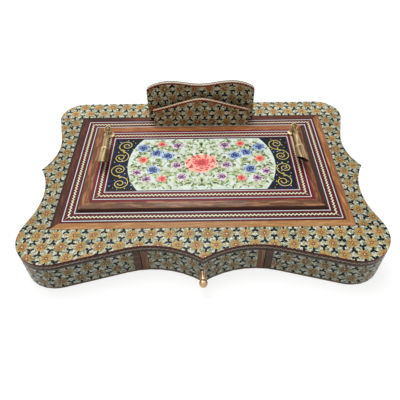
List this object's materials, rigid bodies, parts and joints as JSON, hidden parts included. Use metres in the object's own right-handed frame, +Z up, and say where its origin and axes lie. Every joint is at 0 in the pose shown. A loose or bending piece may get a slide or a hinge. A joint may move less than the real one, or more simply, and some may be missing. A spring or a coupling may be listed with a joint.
{
  "type": "desk pen holder",
  "caption": "Desk pen holder of inlaid wood: a low curved case with a front drawer, a raised painted panel, an upright card holder and turning brass pen funnels.",
  "frame": {"origin": "on the resting face, under the middle of the case", "axes": "+X to the right, +Y towards the card holder at the back, +Z up; the drawer opens towards -Y"},
  "size_m": [0.335, 0.2495, 0.0866],
  "materials": {
    "khatam": "lacquered inlay of pale bone, stained wood and brass in six-pointed stars",
    "wood": "dark brown, satin",
    "border_wood": "orange-brown hardwood under clear lacquer",
    "inlay": "dark red wood with white lines and a cream zigzag under clear lacquer",
    "zigzag": "cream and grey zigzag edging between dark red lines",
    "painting": "painted flowers and gold scrolls under clear lacquer",
    "brass": "satin, slightly worn",
    "felt": "thin pressed felt"
  },
  "bodies": {
    "case": {"top_khatam": "khatam", "khatam_front_left": "khatam", "khatam_front_right": "khatam", "khatam_side_left": "khatam", "khatam_side_right": "khatam", "khatam_back": "khatam", "holder_back_khatam": "khatam", "pocket_khatam": "khatam", "bottom_board": "wood", "top_board": "wood", "wall_front_left": "wood", "wall_front_right": "wood", "wall_side_left": "wood", "wall_side_right": "wood", "wall_back": "wood", "raised_core": "wood", "partition_left": "wood", "partition_right": "wood", "drawer_stop": "wood", "holder_back_board": "wood", "pocket_board": "wood", "pocket_cheek_left": "wood", "pocket_cheek_right": "wood", "border_front": "border_wood", "border_back": "border_wood", "border_left": "border_wood", "border_right": "border_wood", "moulding_front": "border_wood", "moulding_back": "border_wood", "moulding_left": "border_wood", "moulding_right": "border_wood", "outer_inlay_front": "inlay", "outer_inlay_back": "inlay", "outer_inlay_left": "inlay", "outer_inlay_right": "inlay", "inner_inlay_front": "inlay", "inner_inlay_back": "inlay", "inner_inlay_left": "inlay", "inner_inlay_right": "inlay", "edge_band_left": "zigzag", "edge_band_right": "zigzag", "holder_back_edging": "zigzag", "pocket_edging": "zigzag", "painted_panel": "painting", "pen_base_left": "brass", "pen_base_right": "brass", "underlay": "felt"},
    "drawer": {"drawer_front": "wood", "drawer_khatam": "khatam", "drawer_side_left": "wood", "drawer_side_right": "wood", "drawer_back": "wood", "drawer_bottom": "wood", "drawer_knob": "brass"},
    "left_socket": {"pen_socket_left": "brass"},
    "left_ball": {"pen_ball_left": "brass"},
    "left_funnel": {"pen_funnel_left": "brass"},
    "right_socket": {"pen_socket_right": "brass"},
    "right_ball": {"pen_ball_right": "brass"},
    "right_funnel": {"pen_funnel_right": "brass"}
  },
  "joints": [
    {"name": "drawer_slide", "type": "slide", "parent": "case", "child": "drawer", "axis": [0, -1, 0], "range_m": [0, 0.08]},
    {"name": "left_swivel", "type": "hinge", "parent": "case", "child": "left_socket", "pos_m": [-0.1035, 0.053, 0.0493], "axis": [0, 0, 1], "range_deg": [-180, 95]},
    {"name": "left_tilt", "type": "hinge", "parent": "left_socket", "child": "left_ball", "pos_m": [-0.1035, 0.053, 0.0493], "axis": [-0.9994, -0.0349, 0], "range_deg": [-1, 78]},
    {"name": "left_spin", "type": "hinge", "parent": "left_ball", "child": "left_funnel", "pos_m": [-0.1035, 0.053, 0.0493], "axis": [0.0349, -0.9994, 0], "continuous": true},
    {"name": "right_swivel", "type": "hinge", "parent": "case", "child": "right_socket", "pos_m": [0.1035, 0.053, 0.0493], "axis": [0, 0, 1], "range_deg": [-95, 180]},
    {"name": "right_tilt", "type": "hinge", "parent": "right_socket", "child": "right_ball", "pos_m": [0.1035, 0.053, 0.0493], "axis": [-1, 0, 0], "range_deg": [-1, 78]},
    {"name": "right_spin", "type": "hinge", "parent": "right_ball", "child": "right_funnel", "pos_m": [0.1035, 0.053, 0.0493], "axis": [0, -1, 0], "continuous": true}
  ]
}
